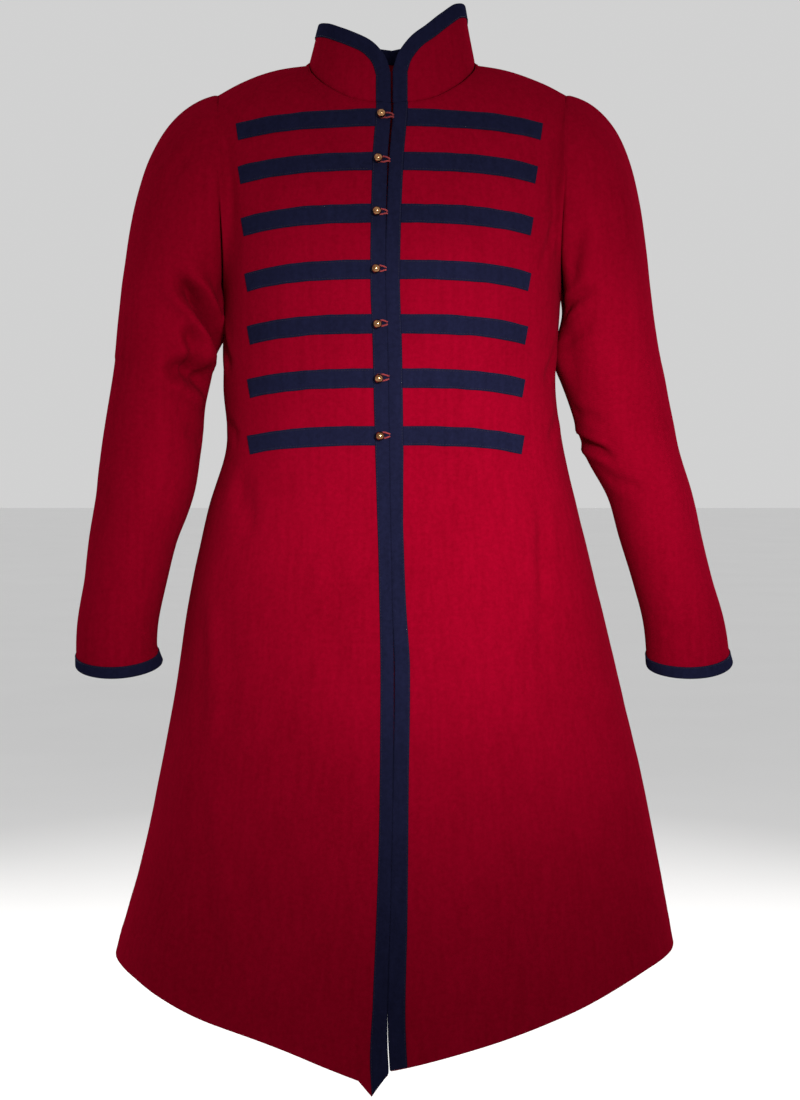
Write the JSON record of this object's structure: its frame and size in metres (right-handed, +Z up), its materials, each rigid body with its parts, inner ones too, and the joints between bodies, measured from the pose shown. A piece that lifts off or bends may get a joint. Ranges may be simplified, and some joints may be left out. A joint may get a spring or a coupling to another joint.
{
  "type": "medieval surcoat",
  "caption": "Long-sleeved, front-opening wool coat with stand collar, flared skirt, contrast binding, chest bars, ball buttons and cord loops; hollow, as worn.",
  "frame": {"origin": "middle of the neck at the height of the shoulders, where the wearer's neck and shoulders hold the coat", "axes": "+Z up, +X towards the wearer's left, -Y is the way the front faces"},
  "size_m": [0.7716, 0.4526, 1.2187],
  "materials": {
    "wool": "smooth red wool cloth, dull, faint twill",
    "tape": "dull navy wool tape",
    "brass": "polished brass",
    "cord": "dark red twisted cord"
  },
  "bodies": {
    "root": {"front_right": "wool", "front_left": "wool", "back": "wool", "sleeve_right": "wool", "sleeve_left": "wool", "collar": "wool", "front_binding_right": "tape", "front_binding_left": "tape", "collar_binding": "tape", "cuff_binding_right": "tape", "cuff_binding_left": "tape", "bar_right_1": "tape", "bar_right_2": "tape", "bar_right_3": "tape", "bar_right_4": "tape", "bar_right_5": "tape", "bar_right_6": "tape", "bar_right_7": "tape", "bar_left_1": "tape", "bar_left_2": "tape", "bar_left_3": "tape", "bar_left_4": "tape", "bar_left_5": "tape", "bar_left_6": "tape", "bar_left_7": "tape", "button_1": "brass", "button_2": "brass", "button_3": "brass", "button_4": "brass", "button_5": "brass", "button_6": "brass", "button_7": "brass", "loop_1": "cord", "loop_2": "cord", "loop_3": "cord", "loop_4": "cord", "loop_5": "cord", "loop_6": "cord", "loop_7": "cord"}
  },
  "joints": []
}
